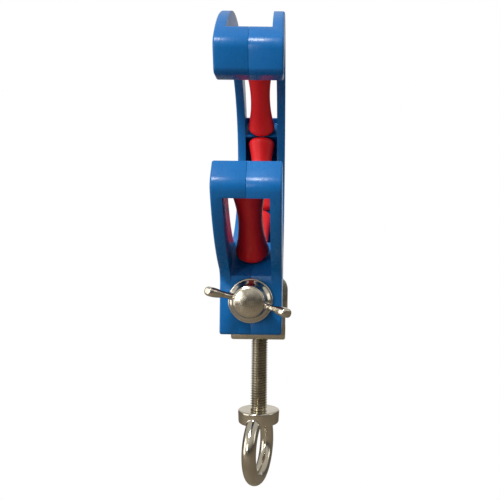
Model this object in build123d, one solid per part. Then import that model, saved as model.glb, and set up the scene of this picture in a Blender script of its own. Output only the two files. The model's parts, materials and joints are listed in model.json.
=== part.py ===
from build123d import *
import math
import os

# Cable guide ring on a swivelling rail clamp.
# Millimetres, +Z up. X runs along the cable. The ring's mouth is on the -Y side, the clamp on the +Y side.
# The origin is the middle of the fixed jaw's gripping face. Every piece is drawn about the ring's centre
# and moved to the origin as it is written.

# Ring: the opening is a little off the rim's centre, so the ring is thickest below
INNER_CENTRE = (2.0, 2.0)
INNER_R = 47.7
OUTER_CENTRE = (1.0, -0.6)
OUTER_R = 64.0
HALF_WIDTH = 14.0
RAIL_THICKNESS = 4.7
SEAM_HALF_GAP = 0.06
RAIL_EDGE_R = 0.9
WEB_OUTER_R = OUTER_R - 0.5
BACK_WALL_THICKNESS = 1.5
WEB_HALF_ANGLE = 8.0
ARM_WINDOW_END = 142.0
LEDGE_Z = -60.6

# Mouth: the arm's tip above, the jaw's tip below, each with a slanted lead-in face
ARM_TIP = (-50.8, 19.2)
ARM_TIP_INSIDE = (-42.2, 20.1)
ARM_BEND = (-55.0, 31.2)
JAW_TIP_Z = -15.4
JAW_TIP_FRONT_Y = -52.0
JAW_BEND = (-58.5, -26.4)
TIP_R = 1.4
TIP_INSIDE_R = 0.8
ARM_TIP_R = 3.0
BEND_R = 6.5

# Rollers: the angle of each, and the distance of its axis from the ring's centre
ROLLERS = {"upper": (51.5, 51.0), "middle": (0.0, 51.0), "lower": (-51.5, 51.0), "jaw": (229.5, 47.5)}
ROLLER_LENGTH = 43.4
ROLLER_WAIST_R = 5.4
ROLLER_FLARE_R = 8.6
ROLLER_END_R = 3.0
ROLLER_BORE_R = 2.05
AXLE_R = 2.0
AXLE_LENGTH = 48.0
AXLE_CHAMFER = 1.2
WEB_FACE = ROLLER_LENGTH / 2 + 0.3

# Base block below the ring
BASE_FRONT_Y = -23.6
BASE_BACK_Y = 35.5
BASE_BOTTOM_Z = -87.3
FRONT_FILLET_R = 8.0
BACK_FILLET_R = 3.0
PIVOT_Z = -71.8

# Screws that hold the two shells together, along X: M3 pan head and hex nut
SHELL_SCREW_R = 1.5
SHELL_SCREW_HOLE_R = 1.6
SCREW_HEAD_R = 2.8
SCREW_HEAD_HEIGHT = 2.2
SCREW_SEAT_X = 11.2
NUT_FLATS = 5.5
NUT_THICKNESS = 2.4
WEB_SCREW_R = 60.2

# Swivel pivot: M8 wing screw with a washer, through a steel sleeve into the clamp's plate
PIVOT_R = 4.0
RUNNING_GAP = 0.05
SLEEVE_R = 6.0
WING_WASHER_R = 10.1
WING_WASHER_THICKNESS = 1.8
BOSS_SKIRT_R = 9.3
BOSS_FACE_R = 6.9
BOSS_HEIGHT = 10.6
WING_TIP_R = 18.2
WING_TILT = 15.0
PAD_HALF_THICKNESS = 2.1
WEB_HALF_THICKNESS = 1.4

# Clamp: a bent steel C that opens towards +Y
PLATE_FRONT_Y = 37.0
PLATE_THICKNESS = 6.0
CLAMP_BACK_Y = 70.0
CLAMP_TOP_Z = -59.4
CLAMP_BOTTOM_Z = -96.8
JAW_THICKNESS = 5.0
JAW_HALF_WIDTH = 16.7
FLANGE_HALF_WIDTH = 15.5
FLANGE_THICKNESS = 6.0
SHOULDER_Z = -80.0
BEND_OUTER_R = 3.0
TOOTH_PITCH = 3.0
TOOTH_DEPTH = 1.0
FRICTION_WASHER_R = 12.0

# Clamp screw: M10 eye bolt pointing up through the lower flange
SCREW_Y = 54.0
SCREW_R = 5.0
JOURNAL_R = 3.5
JOURNAL_TOP_Z = -79.3
SHOULDER_TOP_Z = -85.0
SNAP_GROOVE_R = 2.9
SNAP_GROOVE_Z = -81.6
SNAP_RING_THICKNESS = 0.9
COLLAR_TOP_Z = -140.6
COLLAR_R = 12.5
COLLAR_HEIGHT = 8.0
EYE_OUTER_R = 22.5
EYE_BAR_R = 4.2
EYE_YAW = -14.0
PAD_R = 8.0
PAD_TOP_Z = -76.0
PAD_BOTTOM_Z = -84.7

JAW_FACE_Z = CLAMP_TOP_Z - JAW_THICKNESS
RING_CENTRE = (0.0, -SCREW_Y, -JAW_FACE_Z)
RAIL_INNER_X = HALF_WIDTH - RAIL_THICKNESS
FAR = 200.0


def save(name, shape):
    """Write one node, moved so that the jaw's face is at the origin. A shape may be a list of solids."""
    shapes = shape if isinstance(shape, list) else [shape]
    solids = [Pos(*RING_CENTRE) * solid for each in shapes for solid in each.solids()]
    node = solids[0] if len(solids) == 1 else Compound(solids)
    node.label = name
    export_step(node, f"parts/{name}.step")


def polar(radius, angle):
    turn = math.radians(angle)
    return (radius * math.cos(turn), radius * math.sin(turn))


def slab(outline, low_x, high_x):
    """Extrude an outline drawn in (Y, Z) between two X planes."""
    return extrude(Plane.YZ.offset(low_x) * outline, high_x - low_x, dir=(1, 0, 0))


def beyond(start, end, share):
    """The point past end on the line from start, by a share of the line's length."""
    return tuple(e + share * (e - s) for s, e in zip(start, end))


def wedge(start, end):
    """What lies between two angles less than 180 degrees apart, seen from the ring's centre."""
    return Polygon((0, 0), polar(FAR, start), polar(FAR, (start + end) / 2), polar(FAR, end), align=None)


def rim(radius):
    return Pos(*OUTER_CENTRE) * Circle(radius)


def opening():
    return Pos(*INNER_CENTRE) * Circle(INNER_R)


def web(start, end):
    """The ring's section between two angles, set back a little from the rails' outer edge."""
    return (rim(WEB_OUTER_R) - opening()) & wedge(start, end)


def roller_room(name):
    """The space between the two webs of a roller."""
    inner = 36.0
    outer = OUTER_R + 10
    return Rot(0, 0, ROLLERS[name][0]) * Pos((inner + outer) / 2, 0) * Rectangle(outer - inner, 2 * WEB_FACE)


def mouth():
    arm_tip_inside = beyond(ARM_TIP, ARM_TIP_INSIDE, 0.6)
    arm_outside = beyond(ARM_TIP, ARM_BEND, 0.6)
    jaw_tip = (JAW_TIP_FRONT_Y, JAW_TIP_Z)
    jaw_outside = beyond(jaw_tip, JAW_BEND, 0.6)
    return Polygon(
        arm_tip_inside,
        ARM_TIP,
        arm_outside,
        (-FAR, arm_outside[1]),
        (-FAR, jaw_outside[1]),
        jaw_outside,
        jaw_tip,
        (arm_tip_inside[0], JAW_TIP_Z),
        align=None,
    )


def side_outline():
    """The rail's outline: the open ring with the base block below it."""
    base_depth = BASE_BACK_Y - BASE_FRONT_Y
    base_top = -50.0
    base_height = base_top - BASE_BOTTOM_Z
    base = Pos(BASE_FRONT_Y + base_depth / 2, base_top - base_height / 2) * Rectangle(base_depth, base_height)
    outline = rim(OUTER_R) + base - opening() - mouth()
    jaw_tip = (JAW_TIP_FRONT_Y, JAW_TIP_Z)
    centre_y, centre_z = OUTER_CENTRE
    front_corner = (BASE_FRONT_Y, centre_z - math.sqrt(OUTER_R**2 - (BASE_FRONT_Y - centre_y) ** 2))
    back_corner = (BASE_BACK_Y, centre_z - math.sqrt(OUTER_R**2 - (BASE_BACK_Y - centre_y) ** 2))
    rounds = [
        (ARM_TIP, ARM_TIP_R),
        (ARM_TIP_INSIDE, TIP_INSIDE_R),
        (ARM_BEND, BEND_R),
        (jaw_tip, TIP_R),
        (JAW_BEND, BEND_R),
        (front_corner, FRONT_FILLET_R),
        (back_corner, BACK_FILLET_R),
        ((BASE_FRONT_Y, BASE_BOTTOM_Z), TIP_R),
        ((BASE_BACK_Y, BASE_BOTTOM_Z), TIP_R),
    ]
    for (y, z), radius in rounds:
        corner = outline.vertices().sort_by_distance((y, z, 0))[0]
        outline = fillet(corner, radius)
    return outline


def middle_outline(outline):
    """What joins the two rails: webs, crossbars, the thin back wall and the solid zone over the base."""
    room_r = WEB_OUTER_R - BACK_WALL_THICKNESS
    web_angle = ROLLERS["upper"][0] / 2
    top_web = 3 * web_angle
    parts = [
        web(web_angle - WEB_HALF_ANGLE, web_angle + WEB_HALF_ANGLE),
        web(-web_angle - WEB_HALF_ANGLE, -web_angle + WEB_HALF_ANGLE),
        web(top_web - WEB_HALF_ANGLE, top_web + WEB_HALF_ANGLE),
        web(238, 262),
        web(-104, -top_web + WEB_HALF_ANGLE),
        (rim(WEB_OUTER_R) - rim(room_r)) & wedge(-top_web, web_angle + WEB_HALF_ANGLE),
        outline & wedge(ARM_WINDOW_END, 179),
        outline & wedge(181, 215),
        outline & Pos(BASE_FRONT_Y + FAR / 2, -FAR / 2 - 58) * Rectangle(FAR, FAR),
    ]
    middle = Sketch() + parts
    for name in ("upper", "middle", "lower"):
        middle -= roller_room(name) & rim(room_r)
    above_ledge = Pos(0, LEDGE_Z + FAR / 2) * Rectangle(FAR, FAR)
    middle -= roller_room("jaw") & above_ledge
    return middle


def shell_screw_places():
    """(Y, Z) of each screw that joins the shells."""
    web_angle = ROLLERS["upper"][0] / 2
    return [
        polar(WEB_SCREW_R, web_angle),
        polar(WEB_SCREW_R, -web_angle),
        polar(58.0, 3 * web_angle + 4.0),
        polar(56.5, 147.5),
        (0.0, -57.0),
        (-15.0, -81.5),
        (27.0, -81.5),
    ]


def roller_plane(name):
    angle, distance = ROLLERS[name]
    y, z = polar(distance, angle)
    turn = math.radians(angle)
    return Plane(origin=(0, y, z), x_dir=(1, 0, 0), z_dir=(0, -math.sin(turn), math.cos(turn)))


def y_cylinder(radius, low_y, high_y, z):
    """A cylinder along Y at X = 0."""
    length = high_y - low_y
    return Pos(0, low_y + length / 2, z) * Rot(90, 0, 0) * Cylinder(radius, length)


def z_cylinder(radius, low_z, high_z):
    """A cylinder along Z on the clamp screw's axis."""
    length = high_z - low_z
    return Pos(0, SCREW_Y, low_z + length / 2) * Cylinder(radius, length)


def x_cylinder(radius, low_x, high_x, place):
    length = high_x - low_x
    return Pos(low_x + length / 2, *place) * Rot(0, 90, 0) * Cylinder(radius, length)


def half_shell():
    """The half on the +X side, before its screw seats are cut."""
    outline = side_outline()
    rail = slab(outline, RAIL_INNER_X, HALF_WIDTH)
    outer_face = rail.faces().sort_by(Axis.X)[-1]
    rail = fillet(outer_face.edges(), RAIL_EDGE_R)
    shell = rail + slab(middle_outline(outline), SEAM_HALF_GAP, RAIL_INNER_X)
    for name in ROLLERS:
        seat = Cylinder(AXLE_R + 0.02, AXLE_LENGTH + 0.2)
        shell -= roller_plane(name) * seat
    shell -= y_cylinder(SLEEVE_R + 0.02, BASE_FRONT_Y - 1, BASE_BACK_Y + 1, PIVOT_Z)
    for place in shell_screw_places():
        shell -= x_cylinder(SHELL_SCREW_HOLE_R, -1, HALF_WIDTH + 1, place)
    return shell


def shells():
    right = half_shell()
    left = mirror(right, Plane.YZ)
    for place in shell_screw_places():
        right -= x_cylinder(SCREW_HEAD_R + 0.3, SCREW_SEAT_X, HALF_WIDTH + 1, place)
        pocket = RegularPolygon((NUT_FLATS + 0.2) / 2, 6, major_radius=False)
        left -= slab(Pos(*place) * pocket, -HALF_WIDTH - 1, -SCREW_SEAT_X)
    save("shell_right", right)
    save("shell_left", left)


def shell_fasteners():
    screws = []
    nuts = []
    for place in shell_screw_places():
        head = x_cylinder(SCREW_HEAD_R, SCREW_SEAT_X, SCREW_SEAT_X + SCREW_HEAD_HEIGHT, place)
        head = fillet(head.faces().sort_by(Axis.X)[-1].edges(), 0.8)
        socket = slab(
            Pos(*place) * RegularPolygon(1.2, 6, major_radius=False),
            SCREW_SEAT_X + 1.0,
            SCREW_SEAT_X + SCREW_HEAD_HEIGHT + 1,
        )
        shank = x_cylinder(SHELL_SCREW_R, -HALF_WIDTH + 0.4, SCREW_SEAT_X, place)
        screws.append(head + shank - socket)
        body = slab(
            Pos(*place) * RegularPolygon(NUT_FLATS / 2, 6, major_radius=False),
            -SCREW_SEAT_X - NUT_THICKNESS,
            -SCREW_SEAT_X,
        )
        nuts.append(body - x_cylinder(SHELL_SCREW_R, -HALF_WIDTH, 0, place))
    save("shell_screws", screws)
    save("shell_nuts", nuts)


def roller():
    """An hourglass roller about Z, with rounded ends and a plain bore."""
    half = ROLLER_LENGTH / 2
    edge = [
        ThreePointArc((ROLLER_FLARE_R, -half), (ROLLER_WAIST_R, 0), (ROLLER_FLARE_R, half)),
        Line((ROLLER_FLARE_R, half), (ROLLER_BORE_R, half)),
        Line((ROLLER_BORE_R, half), (ROLLER_BORE_R, -half)),
        Line((ROLLER_BORE_R, -half), (ROLLER_FLARE_R, -half)),
    ]
    face = make_face(Curve() + edge)
    ends = face.vertices().sort_by(Axis.X)[-2:]
    face = fillet(ends, ROLLER_END_R)
    return revolve(Plane.XZ * face, Axis.Z)


def rollers():
    for name in ROLLERS:
        save(f"roller_{name}", roller_plane(name) * roller())
        axle = Cylinder(AXLE_R, AXLE_LENGTH)
        axle = chamfer(axle.edges().filter_by(GeomType.CIRCLE), AXLE_CHAMFER)
        save(f"axle_{name}", roller_plane(name) * axle)


def wing(side):
    """One wing of the wing screw, in the plane of the screw's axis."""
    seat = BASE_FRONT_Y - WING_WASHER_THICKNESS
    web = Polygon(
        (3.0 * side, seat - 1.5),
        (9.5 * side, seat - 2.4),
        (15.0 * side, seat - 7.6),
        (WING_TIP_R * side, seat - 12.5),
        (WING_TIP_R * side, seat - 16.5),
        (13.2 * side, seat - 16.5),
        (10.0 * side, seat - 9.5),
        (3.0 * side, seat - 8.5),
        align=None,
    )
    web = extrude(web, WEB_HALF_THICKNESS, both=True)
    pad = Pos(15.6 * side, seat - 13.0, 0) * Box(5.8, 8.0, 2 * PAD_HALF_THICKNESS)
    pad = fillet(pad.edges(), 2.0)
    return web + pad


def wing_screw():
    seat = BASE_FRONT_Y - WING_WASHER_THICKNESS - 0.1
    boss = Polygon(
        (0, 0),
        (BOSS_SKIRT_R, 0),
        (BOSS_SKIRT_R, 0.9),
        (BOSS_FACE_R + 0.9, 3.4),
        (BOSS_FACE_R, 6.6),
        (BOSS_FACE_R, BOSS_HEIGHT - 0.7),
        (BOSS_FACE_R - 0.7, BOSS_HEIGHT),
        (0, BOSS_HEIGHT + 1.2),
        align=None,
    )
    boss = Pos(0, seat, 0) * Rot(90, 0, 0) * revolve(Plane.XZ * boss, Axis.Z)
    head = boss + wing(1) + wing(-1)
    head = Pos(0, 0, PIVOT_Z) * Rot(0, WING_TILT, 0) * head
    tip_y = PLATE_FRONT_Y + PLATE_THICKNESS - 0.2
    shank = y_cylinder(PIVOT_R, seat, tip_y, PIVOT_Z)
    shank = chamfer(shank.edges().group_by(Axis.Y)[-1], 0.8)
    save("wing_screw", head + shank)


def pivot_rings():
    washer_back = BASE_FRONT_Y - 0.1
    washer = y_cylinder(WING_WASHER_R, washer_back - WING_WASHER_THICKNESS, washer_back, PIVOT_Z)
    washer = fillet(washer.edges().group_by(Axis.Y)[0], 0.4)
    save("wing_washer", washer - y_cylinder(PIVOT_R + 0.2, -FAR, FAR, PIVOT_Z))
    sleeve = y_cylinder(SLEEVE_R, BASE_FRONT_Y + 0.1, BASE_BACK_Y - 0.1, PIVOT_Z)
    save("pivot_sleeve", sleeve - y_cylinder(PIVOT_R + RUNNING_GAP, -FAR, FAR, PIVOT_Z))
    disc = y_cylinder(FRICTION_WASHER_R, BASE_BACK_Y + 0.15, PLATE_FRONT_Y, PIVOT_Z)
    save("friction_washer", disc - y_cylinder(PIVOT_R + 0.2, -FAR, FAR, PIVOT_Z))


def clamp_front():
    """The clamp's outline seen from the front, as a long bar: rounded shoulders above, narrower below."""
    half = Polygon(
        (0, CLAMP_TOP_Z),
        (JAW_HALF_WIDTH, CLAMP_TOP_Z),
        (JAW_HALF_WIDTH, SHOULDER_Z),
        (FLANGE_HALF_WIDTH, SHOULDER_Z),
        (FLANGE_HALF_WIDTH, CLAMP_BOTTOM_Z),
        (0, CLAMP_BOTTOM_Z),
        align=None,
    )
    for x, z, radius in ((JAW_HALF_WIDTH, CLAMP_TOP_Z, 8.5), (FLANGE_HALF_WIDTH, CLAMP_BOTTOM_Z, 1.5)):
        corner = half.vertices().sort_by_distance((x, z, 0))[0]
        half = fillet(corner, radius)
    whole = half + mirror(half, Plane.YZ)
    return extrude(Plane.XZ * whole, FAR, both=True)


def clamp_frame():
    """Front plate, toothed upper jaw and tapped lower flange, bent from one strip."""
    back_of_plate = PLATE_FRONT_Y + PLATE_THICKNESS
    strip = Polygon(
        (PLATE_FRONT_Y, CLAMP_TOP_Z),
        (CLAMP_BACK_Y, CLAMP_TOP_Z),
        (CLAMP_BACK_Y, JAW_FACE_Z),
        (back_of_plate, JAW_FACE_Z),
        (back_of_plate, CLAMP_BOTTOM_Z + FLANGE_THICKNESS),
        (CLAMP_BACK_Y, CLAMP_BOTTOM_Z + FLANGE_THICKNESS),
        (CLAMP_BACK_Y, CLAMP_BOTTOM_Z),
        (PLATE_FRONT_Y, CLAMP_BOTTOM_Z),
        align=None,
    )
    bends = [
        (PLATE_FRONT_Y, CLAMP_TOP_Z, BEND_OUTER_R),
        (PLATE_FRONT_Y, CLAMP_BOTTOM_Z, BEND_OUTER_R),
        (back_of_plate, JAW_FACE_Z, 1.5),
        (back_of_plate, CLAMP_BOTTOM_Z + FLANGE_THICKNESS, 1.5),
    ]
    for y, z, radius in bends:
        corner = strip.vertices().sort_by_distance((y, z, 0))[0]
        strip = fillet(corner, radius)
    teeth = Sketch()
    first = math.ceil((back_of_plate + 3 - SCREW_Y) / TOOTH_PITCH)
    last = math.floor((CLAMP_BACK_Y - 1 - SCREW_Y) / TOOTH_PITCH)
    for count in range(first, last + 1):
        y = SCREW_Y + (count - 0.5) * TOOTH_PITCH
        teeth += Polygon(
            (y - TOOTH_DEPTH, JAW_FACE_Z - 0.01),
            (y, JAW_FACE_Z + TOOTH_DEPTH),
            (y + TOOTH_DEPTH, JAW_FACE_Z - 0.01),
            align=None,
        )
    frame = slab(strip - teeth, -JAW_HALF_WIDTH, JAW_HALF_WIDTH) & clamp_front()
    frame -= y_cylinder(PIVOT_R + RUNNING_GAP, PLATE_FRONT_Y - 1, back_of_plate + 1, PIVOT_Z)
    frame -= z_cylinder(SCREW_R + RUNNING_GAP, CLAMP_BOTTOM_Z - 1, CLAMP_BOTTOM_Z + FLANGE_THICKNESS + 1)
    save("clamp_frame", frame)


def eye_bolt():
    eye_z = COLLAR_TOP_Z - EYE_OUTER_R - 0.2
    shank = z_cylinder(SCREW_R, COLLAR_TOP_Z, SHOULDER_TOP_Z)
    shank = chamfer(shank.edges().group_by(Axis.Z)[-1], 0.9)
    journal = z_cylinder(JOURNAL_R, SHOULDER_TOP_Z, JOURNAL_TOP_Z)
    groove = z_cylinder(JOURNAL_R + 1, SNAP_GROOVE_Z, SNAP_GROOVE_Z + SNAP_RING_THICKNESS + 0.1)
    groove -= z_cylinder(SNAP_GROOVE_R, SNAP_GROOVE_Z - 1, SNAP_GROOVE_Z + 2)
    collar = z_cylinder(COLLAR_R, COLLAR_TOP_Z - COLLAR_HEIGHT, COLLAR_TOP_Z)
    collar = fillet(collar.edges().filter_by(GeomType.CIRCLE), 1.2)
    eye = Rot(0, 90, 0) * Torus(EYE_OUTER_R - EYE_BAR_R, EYE_BAR_R)
    eye = Pos(0, SCREW_Y, eye_z) * Rot(0, 0, EYE_YAW) * eye
    save("eye_bolt", shank + (journal - groove) + collar + eye)
    ring = z_cylinder(JOURNAL_R + 0.8, SNAP_GROOVE_Z + 0.05, SNAP_GROOVE_Z + 0.05 + SNAP_RING_THICKNESS)
    ring -= z_cylinder(SNAP_GROOVE_R, -FAR, FAR)
    ring -= Pos(0, SCREW_Y + 4, SNAP_GROOVE_Z) * Box(3, 8, 6)
    save("pad_snap_ring", ring)


def pressure_pad():
    """The loose foot on the clamp screw's tip."""
    pad = z_cylinder(PAD_R, PAD_BOTTOM_Z + 3.6, PAD_TOP_Z)
    pad = fillet(pad.edges().filter_by(GeomType.CIRCLE), 0.8)
    pad += z_cylinder(PAD_R - 2, PAD_BOTTOM_Z, PAD_TOP_Z - 2)
    pad -= z_cylinder(JOURNAL_R + RUNNING_GAP, PAD_BOTTOM_Z - 1, JOURNAL_TOP_Z + 0.3)
    pad -= z_cylinder(JOURNAL_R + 1.1, SNAP_GROOVE_Z - 0.3, SNAP_GROOVE_Z + SNAP_RING_THICKNESS + 0.4)
    save("pressure_pad", pad)


os.makedirs("parts", exist_ok=True)
shells()
shell_fasteners()
rollers()
wing_screw()
pivot_rings()
clamp_frame()
eye_bolt()
pressure_pad()
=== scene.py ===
"""Looks of the cable guide ring with its clamp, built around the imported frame."""
import json
import math

import bmesh
import bpy
from mathutils import Matrix, Vector

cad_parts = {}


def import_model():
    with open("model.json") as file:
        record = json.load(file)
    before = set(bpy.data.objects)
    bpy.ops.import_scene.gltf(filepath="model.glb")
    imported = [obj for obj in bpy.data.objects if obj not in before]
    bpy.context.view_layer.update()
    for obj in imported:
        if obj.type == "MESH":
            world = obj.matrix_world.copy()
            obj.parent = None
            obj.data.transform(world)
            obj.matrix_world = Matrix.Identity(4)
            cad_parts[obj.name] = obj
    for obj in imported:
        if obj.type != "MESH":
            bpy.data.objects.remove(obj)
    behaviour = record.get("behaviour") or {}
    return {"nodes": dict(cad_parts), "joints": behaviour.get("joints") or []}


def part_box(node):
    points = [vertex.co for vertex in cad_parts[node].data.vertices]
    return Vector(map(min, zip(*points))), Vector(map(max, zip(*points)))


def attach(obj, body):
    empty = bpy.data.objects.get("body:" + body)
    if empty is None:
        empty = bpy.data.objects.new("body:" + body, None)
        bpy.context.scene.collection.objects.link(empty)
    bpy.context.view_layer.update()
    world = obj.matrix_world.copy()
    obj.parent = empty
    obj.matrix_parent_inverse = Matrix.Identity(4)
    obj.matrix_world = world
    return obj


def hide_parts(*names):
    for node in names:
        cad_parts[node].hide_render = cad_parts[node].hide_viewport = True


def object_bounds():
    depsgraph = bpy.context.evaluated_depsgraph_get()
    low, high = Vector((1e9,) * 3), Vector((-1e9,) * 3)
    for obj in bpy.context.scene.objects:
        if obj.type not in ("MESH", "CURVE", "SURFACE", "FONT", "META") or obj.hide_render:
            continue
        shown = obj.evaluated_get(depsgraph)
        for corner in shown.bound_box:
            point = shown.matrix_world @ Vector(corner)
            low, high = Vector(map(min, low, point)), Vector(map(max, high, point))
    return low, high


MM = 0.001

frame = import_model()
cad_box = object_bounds()
nodes = frame["nodes"]
joints = {joint["name"]: joint for joint in frame["joints"]}


# ---------------------------------------------------------------- places taken from the frame

def joint_frame(name):
    """A matrix whose origin is the joint's point and whose Z is its axis."""
    axis = Vector(joints[name]["axis"]).normalized()
    side = Vector((1, 0, 0))
    side = (side - axis * side.dot(axis)).normalized()
    turn = Matrix((side, axis.cross(side), axis)).transposed()
    return Matrix.Translation(Vector(joints[name]["pos_m"])) @ turn.to_4x4()


# ---------------------------------------------------------------- mesh helpers

def new_object(name, data):
    """An object in the scene that holds a mesh, a light or a camera."""
    obj = bpy.data.objects.new(name, data)
    bpy.context.scene.collection.objects.link(obj)
    return obj


def object_from(name, work):
    """An object from a bmesh, which is freed."""
    mesh = bpy.data.meshes.new(name)
    work.to_mesh(mesh)
    work.free()
    return new_object(name, mesh)


def polar(r, turn, z):
    """A point in metres from a radius, an angle and a height in millimetres."""
    return Vector((r * math.cos(turn), r * math.sin(turn), z)) * MM


def apply_modifiers(obj):
    """Turn an object's modifiers into its mesh."""
    bpy.context.view_layer.update()
    graph = bpy.context.evaluated_depsgraph_get()
    mesh = bpy.data.meshes.new_from_object(obj.evaluated_get(graph))
    obj.modifiers.clear()
    obj.data = mesh


def smooth(obj, angle=35.0):
    """Smooth shading with edges sharper than the angle kept sharp."""
    work = bmesh.new()
    work.from_mesh(obj.data)
    limit = math.radians(angle)
    for face in work.faces:
        face.smooth = True
    for edge in work.edges:
        edge.smooth = not edge.is_manifold or edge.calc_face_angle(0.0) < limit
    work.to_mesh(obj.data)
    work.free()


SIDE_SHARE = 0.49  # of a side's length, the most that one corner's arc takes


def rounded(points, steps=5):
    """A polyline from (r, z, corner radius) points, with each corner turned into an arc."""
    line = []
    for index, (r, z, radius) in enumerate(points):
        corner = Vector((r, z))
        if radius <= 0 or index in (0, len(points) - 1):
            line.append(corner)
            continue
        before = Vector(points[index - 1][:2]) - corner
        after = Vector(points[index + 1][:2]) - corner
        half = before.angle(after) / 2
        longest = SIDE_SHARE * min(before.length, after.length)
        reach = min(radius / math.tan(half), longest)
        radius = reach * math.tan(half)
        middle = (before.normalized() + after.normalized()).normalized()
        centre = corner + middle * radius / math.sin(half)
        start = corner + before.normalized() * reach - centre
        end = corner + after.normalized() * reach - centre
        for step in range(steps + 1):
            share = step / steps
            arm = start.normalized().slerp(end.normalized(), share)
            line.append(centre + arm * radius)
    return line


def lathe(name, line, place, segments=96, closed=False):
    """Revolve a line of (r, z) in millimetres about the place's Z."""
    work = bmesh.new()
    rings = []
    for r, z in line:
        if r < 1e-6:
            rings.append([work.verts.new(place @ Vector((0, 0, z * MM)))])
            continue
        ring = []
        for count in range(segments):
            turn = 2 * math.pi * count / segments
            ring.append(work.verts.new(place @ polar(r, turn, z)))
        rings.append(ring)
    pairs = list(zip(rings, rings[1:]))
    if closed:
        pairs.append((rings[-1], rings[0]))
    for low, high in pairs:
        for count in range(segments):
            following = (count + 1) % segments
            corners = [
                low[count % len(low)],
                low[following % len(low)],
                high[following % len(high)],
                high[count % len(high)],
            ]
            unique = list(dict.fromkeys(corners))
            if len(unique) > 2:
                work.faces.new(unique)
    bmesh.ops.recalc_face_normals(work, faces=work.faces)
    obj = object_from(name, work)
    smooth(obj)
    return obj


BEVEL_SEGMENTS = 2
BEVEL_ANGLE = 28.0  # edges sharper than this are bevelled
WELD_DISTANCE = 2e-6
FLAT_ANGLE = 0.6  # faces closer to level than this become one


def bevelled_copy(name, node, width_mm):
    """A copy of a CAD node's mesh with its sharp edges softened."""
    mesh = nodes[node].data.copy()
    mesh.name = name
    mesh.materials.clear()
    obj = new_object(name, mesh)
    work = bmesh.new()
    work.from_mesh(mesh)
    bmesh.ops.remove_doubles(work, verts=work.verts, dist=WELD_DISTANCE)
    flat = math.radians(FLAT_ANGLE)
    bmesh.ops.dissolve_limit(work, angle_limit=flat, verts=work.verts, edges=work.edges)
    work.to_mesh(mesh)
    work.free()
    bevel = obj.modifiers.new("edges", "BEVEL")
    bevel.width = width_mm * MM
    bevel.segments = BEVEL_SEGMENTS
    bevel.limit_method = "ANGLE"
    bevel.angle_limit = math.radians(BEVEL_ANGLE)
    bevel.use_clamp_overlap = True
    bevel.miter_outer = "MITER_ARC"
    apply_modifiers(obj)
    smooth(obj, 30.0)
    return obj


def join(name, pieces):
    """One object from several whose meshes are all in the row frame."""
    work = bmesh.new()
    for piece in pieces:
        work.from_mesh(piece.data)
        bpy.data.objects.remove(piece)
    return object_from(name, work)


def fused(name, pieces, voxel_mm, rounds):
    """Overlapping closed pieces melted into one forged-looking skin."""
    obj = join(name, pieces)
    remesh = obj.modifiers.new("skin", "REMESH")
    remesh.mode = "VOXEL"
    remesh.voxel_size = voxel_mm * MM
    relax = obj.modifiers.new("relax", "SMOOTH")
    relax.factor = 0.5
    relax.iterations = rounds
    apply_modifiers(obj)
    for polygon in obj.data.polygons:
        polygon.use_smooth = True
    return obj


# ---------------------------------------------------------------- materials

def set_stops(ramp, stops):
    """Give a colour ramp node its (position, colour) stops."""
    elements = ramp.color_ramp.elements
    while len(elements) < len(stops):
        elements.new(0.5)
    for element, (position, colour) in zip(elements, stops):
        element.position = position
        element.color = (*colour, 1.0)


class Nodes:
    """Short calls for wiring one material."""

    def __init__(self, name):
        self.material = bpy.data.materials.new(name)
        self.material.use_nodes = True
        self.tree = self.material.node_tree
        self.shader = self.tree.nodes["Principled BSDF"]
        coordinates = self.add("ShaderNodeTexCoord")
        self.place = coordinates.outputs["Object"]

    def add(self, kind, **settings):
        node = self.tree.nodes.new(kind)
        for key, value in settings.items():
            setattr(node, key, value)
        return node

    def link(self, source, target):
        self.tree.links.new(source, target)

    def noise(self, scale, detail=3.0, roughness=0.5, stretch=(1, 1, 1)):
        mapping = self.add("ShaderNodeMapping")
        mapping.inputs["Scale"].default_value = stretch
        self.link(self.place, mapping.inputs["Vector"])
        noise = self.add("ShaderNodeTexNoise")
        noise.inputs["Scale"].default_value = scale
        noise.inputs["Detail"].default_value = detail
        noise.inputs["Roughness"].default_value = roughness
        self.link(mapping.outputs["Vector"], noise.inputs["Vector"])
        return noise.outputs["Fac"]

    def ramp(self, value, stops):
        ramp = self.add("ShaderNodeValToRGB")
        set_stops(ramp, stops)
        self.link(value, ramp.inputs["Fac"])
        return ramp.outputs["Color"]

    def grey_ramp(self, value, stops):
        return self.ramp(value, [(position, (level, level, level)) for position, level in stops])

    def bump(self, height, distance_mm, strength=1.0, below=None):
        bump = self.add("ShaderNodeBump")
        bump.inputs["Strength"].default_value = strength
        bump.inputs["Distance"].default_value = distance_mm * MM
        self.link(height, bump.inputs["Height"])
        if below is not None:
            self.link(below, bump.inputs["Normal"])
        return bump.outputs["Normal"]

    def set(self, **values):
        for key, value in values.items():
            self.shader.inputs[key.replace("_", " ")].default_value = value


def plastic(name, deep, full, roughness, peel_mm):
    """Moulded plastic: faint flow mottling, orange peel, fine handling scratches."""
    m = Nodes(name)
    mottle = m.noise(55.0, 4.0, 0.55)
    colour = m.ramp(mottle, [(0.35, deep), (0.65, full)])
    m.link(colour, m.shader.inputs["Base Color"])
    scuffs = m.noise(420.0, 5.0, 0.6, (1.0, 1.0, 0.25))
    gloss = m.grey_ramp(scuffs, [(0.35, roughness * 0.85), (0.6, roughness), (0.8, roughness * 1.5)])
    m.link(gloss, m.shader.inputs["Roughness"])
    peel = m.bump(m.noise(900.0, 2.0, 0.4), peel_mm, 0.5)
    scratches = m.bump(m.noise(300.0, 6.0, 0.7, (6.0, 1.0, 0.6)), 0.01, 0.2, peel)
    m.link(scratches, m.shader.inputs["Normal"])
    m.set(IOR=1.5, Specular_IOR_Level=0.28)
    return m.material


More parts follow.
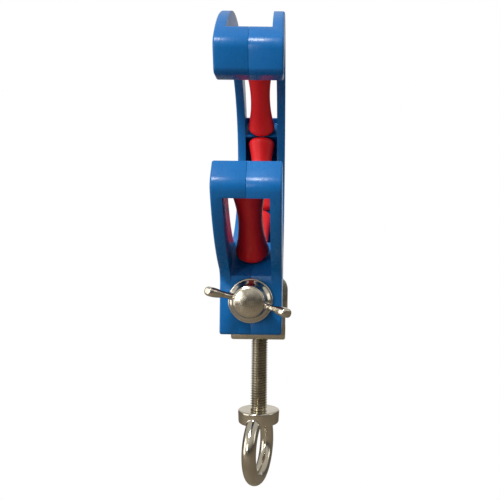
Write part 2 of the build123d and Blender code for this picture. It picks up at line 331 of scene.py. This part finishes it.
def steel(name, dark, light, roughness, grain_scale, stretch, bump_mm):
    """Stainless steel: tinted, with cloudy polish and fine grain."""
    m = Nodes(name)
    cloud = m.noise(70.0, 4.0, 0.55)
    colour = m.ramp(cloud, [(0.35, dark), (0.65, light)])
    m.link(colour, m.shader.inputs["Base Color"])
    grain = m.noise(grain_scale, 4.0, 0.6, stretch)
    gloss = m.grey_ramp(grain, [(0.3, roughness * 0.7), (0.55, roughness), (0.8, roughness * 1.5)])
    m.link(gloss, m.shader.inputs["Roughness"])
    ripple = m.bump(m.noise(160.0, 3.0, 0.5), bump_mm * 3, 0.25)
    fine = m.bump(grain, bump_mm, 0.35, ripple)
    m.link(fine, m.shader.inputs["Normal"])
    m.set(Metallic=1.0)
    return m.material


blue = plastic("blue_plastic", (0.004, 0.128, 0.400), (0.006, 0.148, 0.450), 0.30, 0.06)
red = plastic("red_plastic", (0.78, 0.012, 0.018), (0.88, 0.018, 0.025), 0.42, 0.03)
cast = steel("cast_stainless", (0.56, 0.51, 0.41), (0.68, 0.63, 0.52), 0.17, 500.0, (1, 1, 1), 0.010)
cap_steel = steel("cap_stainless", (0.60, 0.54, 0.43), (0.70, 0.64, 0.52), 0.24, 500.0, (1, 1, 1), 0.002)
turned = steel("turned_stainless", (0.62, 0.57, 0.47), (0.72, 0.67, 0.57), 0.24, 700.0, (1, 1, 1), 0.006)
bent = steel("bent_stainless", (0.54, 0.50, 0.40), (0.66, 0.62, 0.51), 0.24, 600.0, (1, 0.3, 1), 0.010)
threaded = steel("threaded_stainless", (0.40, 0.36, 0.28), (0.54, 0.50, 0.40), 0.22, 600.0, (1, 1, 1), 0.008)
drawn = steel("drawn_steel", (0.52, 0.52, 0.52), (0.62, 0.62, 0.62), 0.25, 700.0, (1, 1, 0.2), 0.006)
zinc = steel("zinc_plated", (0.50, 0.52, 0.55), (0.62, 0.64, 0.68), 0.30, 500.0, (1, 1, 1), 0.006)
fibre = plastic("black_fibre", (0.012, 0.012, 0.012), (0.030, 0.029, 0.028), 0.7, 0.08)


# ---------------------------------------------------------------- pieces

def paint(obj, material):
    """Give a piece or a CAD node its one material."""
    obj.data.materials.clear()
    obj.data.materials.append(material)


def finish_piece(obj, material, body, slot, *replaced):
    """Material and body of a piece, and the CAD node that it stands for. The slot is not used."""
    paint(obj, material)
    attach(obj, body)
    if replaced:
        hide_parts(*replaced)


def shells():
    """The two mouldings of the ring frame."""
    for side in ("left", "right"):
        shell = bevelled_copy(f"shell_{side}_moulding", f"shell_{side}", 0.3)
        finish_piece(shell, blue, "ring_frame", "blue_plastic", f"shell_{side}")


ROLLER_HALF = 21.7
ROLLER_WAIST_R = 5.4
ROLLER_FLARE_R = 8.6
ROLLER_END_R = 3.0
ROLLER_BORE_R = 2.05
ROLLER_STEPS = 14


def roller_line():
    """Hourglass outline from bore to bore: a waist arc with a rounded crest at each end."""
    sag = ROLLER_FLARE_R - ROLLER_WAIST_R
    radius = (ROLLER_HALF**2 + sag**2) / (2 * sag)
    waist_r = ROLLER_WAIST_R + radius
    crest_z = ROLLER_HALF - ROLLER_END_R
    reach = math.asin(crest_z / (radius + ROLLER_END_R))
    crest_r = waist_r - (radius + ROLLER_END_R) * math.cos(reach)
    upper = []
    for step in range(ROLLER_STEPS + 1):
        turn = reach * step / ROLLER_STEPS
        upper.append((waist_r - radius * math.cos(turn), radius * math.sin(turn)))
    for step in range(1, ROLLER_STEPS + 1):
        turn = -reach + (math.pi / 2 + reach) * step / ROLLER_STEPS
        r = crest_r + ROLLER_END_R * math.cos(turn)
        upper.append((r, crest_z + ROLLER_END_R * math.sin(turn)))
    upper.append((ROLLER_BORE_R, ROLLER_HALF))
    lower = [(r, -z) for r, z in reversed(upper[1:])]
    return [Vector(point) for point in lower + upper]


def rollers():
    """Four hourglass rollers on the frame's roller joints, and their axles."""
    line = roller_line()
    for name in ("upper", "middle", "lower", "jaw"):
        place = joint_frame(f"roller_{name}_spin")
        roller = lathe(f"roller_{name}_moulding", line, place, 96, closed=True)
        finish_piece(roller, red, f"roller_{name}", "red_plastic", f"roller_{name}")
        paint(nodes[f"axle_{name}"], drawn)


WASHER_R = 10.1
WASHER_THICKNESS = 1.8
WASHER_HOLE_R = 4.2


def wing_washer():
    """The large plain washer, with its outer edge rounded most on the front."""
    place = joint_frame("wing_screw_turn")
    place.translation.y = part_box("wing_washer")[1].y
    outline = [
        (WASHER_HOLE_R, 0, 0),
        (WASHER_R, 0, 0.3),
        (WASHER_R, -WASHER_THICKNESS, 0.6),
        (WASHER_HOLE_R, -WASHER_THICKNESS, 0),
    ]
    washer = lathe("wing_washer_turned", rounded(outline), place, 128, closed=True)
    finish_piece(washer, turned, "wing_washer", "stainless_turned", "wing_washer")


WING_TILT = 15.0
SKIRT_R = 9.3
BOSS_R = 6.9
BOSS_HEIGHT = 10.6
CAP_SEAT = BOSS_HEIGHT - 0.9
SCREW_R = 4.0
SCREW_CHAMFER = 0.8
# one wing from the boss to its tip: X and Z of the middle, half width, half thickness
WING = [
    (4.5, 4.6, 3.6, 2.0),
    (7.5, 5.4, 3.4, 1.6),
    (10.2, 7.4, 2.9, 1.4),
    (12.4, 9.6, 2.7, 1.5),
    (14.0, 11.4, 2.8, 1.9),
    (15.6, 13.0, 2.9, 2.1),
    (16.9, 14.4, 2.6, 2.0),
    (17.6, 15.2, 1.7, 1.4),
]
SECTION_POINTS = 24
SECTION_POWER = 0.7  # below 1 squares an ellipse's corners


def swept(name, stations, place):
    """A closed skin through rounded sections, given as WING is, in the place's XZ plane."""
    work = bmesh.new()
    rings = []
    for index, (x, z, wide, high) in enumerate(stations):
        before = stations[max(index - 1, 0)]
        after = stations[min(index + 1, len(stations) - 1)]
        along = Vector((after[0] - before[0], 0, after[1] - before[1])).normalized()
        across = Vector((-along.z, 0, along.x))
        ring = []
        for step in range(SECTION_POINTS):
            turn = 2 * math.pi * step / SECTION_POINTS
            c, d = math.cos(turn), math.sin(turn)
            c = math.copysign(abs(c) ** SECTION_POWER, c) * wide
            d = math.copysign(abs(d) ** SECTION_POWER, d) * high
            point = Vector((x, 0, z)) + across * c + Vector((0, d, 0))
            ring.append(work.verts.new(place @ (point * MM)))
        rings.append(ring)
    for low, upper in zip(rings, rings[1:]):
        for step in range(SECTION_POINTS):
            following = (step + 1) % SECTION_POINTS
            work.faces.new((low[step], low[following], upper[following], upper[step]))
    work.faces.new(rings[0])
    work.faces.new(rings[-1])
    bmesh.ops.recalc_face_normals(work, faces=work.faces)
    return object_from(name, work)


def wing_screw():
    """A cast wing screw about the pivot: the place's Z points out of the base, towards -Y."""
    pivot = joint_frame("wing_screw_turn")
    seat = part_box("wing_washer")[0].y - 0.1 * MM
    tilt = Matrix.Rotation(math.radians(WING_TILT), 4, "Y")
    outwards = Matrix.Rotation(math.pi / 2, 4, "X")
    place = Matrix.Translation((0.0, seat, pivot.translation.z)) @ tilt @ outwards
    skirt = [
        (0, 0, 0),
        (SKIRT_R, 0, 0.25),
        (SKIRT_R, 0.95, 0.5),
        (BOSS_R + 0.8, 2.3, 1.5),
        (BOSS_R, 5.2, 3.0),
        (BOSS_R, BOSS_HEIGHT - 1.2, 0.4),
        (BOSS_R - 0.8, CAP_SEAT, 0.4),
        (0, CAP_SEAT, 0),
    ]
    pieces = [lathe("boss", rounded(skirt, 8), place, 128)]
    for side in (1, -1):
        stations = [(x * side, z, wide, high) for x, z, wide, high in WING]
        pieces.append(swept("wing", stations, place))
    casting = fused("wing_screw_casting", pieces, 0.22, 5)
    finish_piece(casting, cast, "wing_screw", "stainless_cast", "wing_screw")
    cap_outline = [
        (0, BOSS_HEIGHT - 2.0, 0),
        (BOSS_R - 0.75, BOSS_HEIGHT - 2.0, 0),
        (BOSS_R - 0.55, BOSS_HEIGHT - 0.35, 0.35),
        (BOSS_R - 1.1, BOSS_HEIGHT - 0.1, 0.3),
        (0, BOSS_HEIGHT + 1.2, 0),
    ]
    cap = lathe("wing_screw_cap", rounded(cap_outline, 6), place, 128)
    smooth(cap, 60.0)
    finish_piece(cap, cap_steel, "wing_screw", "stainless_turned", "wing_screw")
    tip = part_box("wing_screw")[1].y
    length = (tip - seat) / MM + 0.5
    shank_place = Matrix.Translation((0.0, tip, pivot.translation.z)) @ outwards
    shank_line = [
        (0, 0),
        (SCREW_R - SCREW_CHAMFER, 0),
        (SCREW_R, SCREW_CHAMFER),
        (SCREW_R, length),
        (0, length),
    ]
    shank = lathe("wing_screw_shank", shank_line, shank_place, 64)
    finish_piece(shank, threaded, "wing_screw", "stainless_cast", "wing_screw")


THREAD_PITCH = 1.5
THREAD_MAJOR_R = 5.0
THREAD_MINOR_R = 4.12
THREAD_CHAMFER = 1.0
THREAD_COLUMNS = 72
# one pitch of the flank: share of the pitch, share of the depth
THREAD_PROFILE = [(0.0, 0.0), (0.14, 0.0), (0.44, 1.0), (0.50, 1.0), (0.58, 1.0), (0.88, 0.0)]


def thread(name, place, length_mm):
    """A real helical thread that ends in a chamfer, about the place's Z from 0 to its length."""
    per_turn = len(THREAD_PROFILE)
    chamfer_r = THREAD_MAJOR_R - THREAD_CHAMFER
    turns = math.ceil(length_mm / THREAD_PITCH) + 2
    work = bmesh.new()
    grid = []
    for row in range(turns * per_turn):
        turn, spot = divmod(row, per_turn)
        along, depth = THREAD_PROFILE[spot]
        ring = []
        for column in range(THREAD_COLUMNS):
            share = column / THREAD_COLUMNS
            z = (turn - 1 + along + share) * THREAD_PITCH
            r = THREAD_MINOR_R + (THREAD_MAJOR_R - THREAD_MINOR_R) * depth
            r = max(min(r, chamfer_r + max(0.0, length_mm - z)), chamfer_r)
            z = min(max(z, 0.0), length_mm)
            ring.append(work.verts.new(place @ polar(r, 2 * math.pi * share, z)))
        grid.append(ring)
    for row in range(len(grid) - 1):
        for column in range(THREAD_COLUMNS):
            # past the last column, the helix goes on one pitch higher
            wraps = column + 1 == THREAD_COLUMNS
            beside = row + per_turn if wraps else row
            following = 0 if wraps else column + 1
            if beside + 1 < len(grid):
                low, high = grid[row][column], grid[row + 1][column]
                work.faces.new([low, grid[beside][following], grid[beside + 1][following], high])
    bmesh.ops.remove_doubles(work, verts=work.verts, dist=1e-7)
    bmesh.ops.dissolve_degenerate(work, edges=work.edges, dist=1e-7)
    holes = [edge for edge in work.edges if edge.is_boundary]
    bmesh.ops.holes_fill(work, edges=holes)
    bmesh.ops.recalc_face_normals(work, faces=work.faces)
    obj = object_from(name, work)
    smooth(obj, 50.0)
    return obj


COLLAR_R = 12.5
COLLAR_HEIGHT = 8.0
COLLAR_ABOVE_EYE = 14.7  # from the eye's centre to the collar's lower face
EYE_R = 18.3
EYE_BAR_R = 4.2
EYE_YAW = -14.0
SHANK_LENGTH = 55.6
SHANK_OVERLAP = 1.0
# the unthreaded tip with its snap ring groove: radius, height
TIP_LINE = [
    (0, 0),
    (3.5, 0),
    (3.5, 3.9),
    (2.9, 3.95),
    (2.9, 4.85),
    (3.5, 4.9),
    (3.5, 5.7),
    (3.0, 6.2),
    (0, 6.2),
]


def eye_bolt():
    """The clamp screw from its eye up: a forged eye and collar, a thread and a tip."""
    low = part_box("eye_bolt")[0]
    axis = Vector(joints["clamp_screw_turn"]["pos_m"])
    eye_z = low.z + (EYE_R + EYE_BAR_R) * MM
    collar_low = eye_z + COLLAR_ABOVE_EYE * MM
    collar_top = collar_low + COLLAR_HEIGHT * MM
    shank_top = collar_top + SHANK_LENGTH * MM

    def at(z):
        return Matrix.Translation((axis.x, axis.y, z))

    shank = thread("eye_bolt_thread", at(collar_top - SHANK_OVERLAP * MM), SHANK_LENGTH + SHANK_OVERLAP)
    finish_piece(shank, threaded, "eye_bolt", "stainless_cast", "eye_bolt")
    tip = lathe("eye_bolt_tip", TIP_LINE, at(shank_top - 0.5 * MM), 48)
    finish_piece(tip, threaded, "eye_bolt", "stainless_cast", "eye_bolt")
    outline = [(0, 0, 0), (COLLAR_R - 0.4, 0, 1.2), (COLLAR_R, COLLAR_HEIGHT, 0.9), (0, COLLAR_HEIGHT, 0)]
    collar = lathe("collar", rounded(outline), at(collar_low), 128)
    bpy.ops.mesh.primitive_torus_add(
        major_radius=EYE_R * MM,
        minor_radius=EYE_BAR_R * MM,
        major_segments=160,
        minor_segments=48,
    )
    eye = bpy.context.object
    upright = Matrix.Rotation(math.pi / 2, 4, "Y")
    eye.data.transform(at(eye_z) @ Matrix.Rotation(math.radians(EYE_YAW), 4, "Z") @ upright)
    forged = fused("eye_bolt_forging", [collar, eye], 0.35, 6)
    finish_piece(forged, cast, "eye_bolt", "stainless_cast", "eye_bolt")


def plain_nodes():
    """CAD nodes whose shape is right as it is."""
    chosen = {
        "shell_screws": zinc,
        "shell_nuts": zinc,
        "pad_snap_ring": zinc,
        "pivot_sleeve": drawn,
        "friction_washer": fibre,
        "pressure_pad": turned,
    }
    for node, material in chosen.items():
        paint(nodes[node], material)


def clamp():
    """The bent steel C."""
    piece = bevelled_copy("clamp_frame_bent", "clamp_frame", 0.4)
    finish_piece(piece, bent, "clamp", "stainless_bent", "clamp_frame")


shells()
rollers()
wing_washer()
wing_screw()
eye_bolt()
clamp()
plain_nodes()


# ---------------------------------------------------------------- stage, light and camera

FLOOR_REACH = 6.0
FLOOR_DROP = 0.25  # below the eye
FLOOR_TONES = [(0.3, (0.20, 0.17, 0.13)), (0.7, (0.24, 0.21, 0.17))]


def stage():
    """A floor that the camera sees as plain white and that lights the object as a dull surface."""
    mesh = bpy.data.meshes.new("floor")
    drop = cad_box[0][2] - FLOOR_DROP
    signs = ((-1, -1), (1, -1), (1, 1), (-1, 1))
    corners = [(x * FLOOR_REACH, y * FLOOR_REACH, drop) for x, y in signs]
    mesh.from_pydata(corners, [], [(0, 1, 2, 3)])
    floor = new_object("floor", mesh)
    m = Nodes("pale_floor")
    m.link(m.ramp(m.noise(2.0), FLOOR_TONES), m.shader.inputs["Base Color"])
    m.set(Roughness=0.9)
    rays = m.add("ShaderNodeLightPath")
    glow = m.add("ShaderNodeEmission")
    mix = m.add("ShaderNodeMixShader")
    m.link(rays.outputs["Is Camera Ray"], mix.inputs["Fac"])
    m.link(m.shader.outputs[0], mix.inputs[1])
    m.link(glow.outputs[0], mix.inputs[2])
    m.link(mix.outputs[0], m.tree.nodes["Material Output"].inputs["Surface"])
    mesh.materials.append(m.material)


LIGHT_TARGET = Vector((0.0, -0.06, 0.02))
# name, place, size, power, colour
LIGHTS = [
    ("key", (-0.36, -0.90, 1.06), 0.30, 15.0, (1.0, 0.99, 0.97)),
    ("front", (-0.70, -1.3, 0.22), 0.40, 3.5, (1, 1, 1)),
    ("left", (-1.4, -0.5, 0.1), 1.0, 6.0, (1, 1, 1)),
    ("right", (1.4, -0.3, 0.3), 0.5, 1.0, (1, 1, 1)),
]


def area(name, place, size, power, colour):
    """A square area light aimed at the middle of the object."""
    data = bpy.data.lights.new(name, "AREA")
    data.size = size
    data.energy = power
    data.color = colour
    light = new_object(name, data)
    light.location = place
    aim = LIGHT_TARGET - Vector(place)
    light.rotation_euler = aim.to_track_quat("-Z", "Y").to_euler()


# grey levels from straight below to straight above
SKY_LEVELS = [(0.0, 0.30), (0.38, 0.16), (0.48, 0.05), (0.56, 0.12), (0.70, 0.55), (1.0, 0.60)]
SKY_TINT = (1, 0.98, 0.95)
# a bright field straight behind the object, for what reflects at a grazing angle
BACKDROP = [(0.80, (0, 0, 0)), (0.90, (0.8, 0.79, 0.77))]


def world():
    """White to the camera, and to everything else a sky that is darkest level with the object."""
    world = bpy.data.worlds.new("studio")
    bpy.context.scene.world = world
    world.use_nodes = True
    tree = world.node_tree
    tree.nodes.clear()
    add = tree.nodes.new
    link = tree.links.new
    coordinates = add("ShaderNodeTexCoord")
    split = add("ShaderNodeSeparateXYZ")
    link(coordinates.outputs["Generated"], split.inputs[0])
    shift = add("ShaderNodeMath")
    shift.operation = "MULTIPLY_ADD"
    shift.inputs[1].default_value = 0.5
    shift.inputs[2].default_value = 0.5
    link(split.outputs["Z"], shift.inputs[0])
    sky = add("ShaderNodeValToRGB")
    set_stops(sky, [(position, [level * tint for tint in SKY_TINT]) for position, level in SKY_LEVELS])
    link(shift.outputs[0], sky.inputs["Fac"])
    backdrop = add("ShaderNodeValToRGB")
    set_stops(backdrop, BACKDROP)
    link(split.outputs["Y"], backdrop.inputs["Fac"])
    both = add("ShaderNodeMix")
    both.data_type = "RGBA"
    both.blend_type = "LIGHTEN"
    both.inputs["Factor"].default_value = 1.0
    link(sky.outputs["Color"], both.inputs[6])
    link(backdrop.outputs["Color"], both.inputs[7])
    soft = add("ShaderNodeBackground")
    link(both.outputs[2], soft.inputs["Color"])
    white = add("ShaderNodeBackground")
    white.inputs["Color"].default_value = (1, 1, 1, 1)
    rays = add("ShaderNodeLightPath")
    mix = add("ShaderNodeMixShader")
    link(rays.outputs["Is Camera Ray"], mix.inputs["Fac"])
    link(soft.outputs[0], mix.inputs[1])
    link(white.outputs[0], mix.inputs[2])
    link(mix.outputs[0], add("ShaderNodeOutputWorld").inputs[0])


CAMERA_PLACE = Vector((16.6, -303.0, 2.1)) * MM
CAMERA_ROLL = 0.7
CAMERA_SHIFT = (-0.0754, 0.06)


def camera():
    """A camera that looks along +Y from the photo's viewpoint."""
    data = bpy.data.cameras.new("camera")
    data.sensor_width = 36.0
    data.lens = 36.0
    data.shift_x, data.shift_y = CAMERA_SHIFT
    data.clip_start = 0.01
    view = new_object("camera", data)
    view.matrix_world = (
        Matrix.Translation(CAMERA_PLACE)
        @ Matrix.Rotation(math.pi / 2, 4, "X")
        @ Matrix.Rotation(math.radians(CAMERA_ROLL), 4, "Z")
    )
    bpy.context.scene.camera = view


stage()
world()
for light in LIGHTS:
    area(*light)
camera()

view_settings = bpy.context.scene.view_settings
view_settings.view_transform = "Standard"
view_settings.look = "None"
view_settings.exposure = 0.0
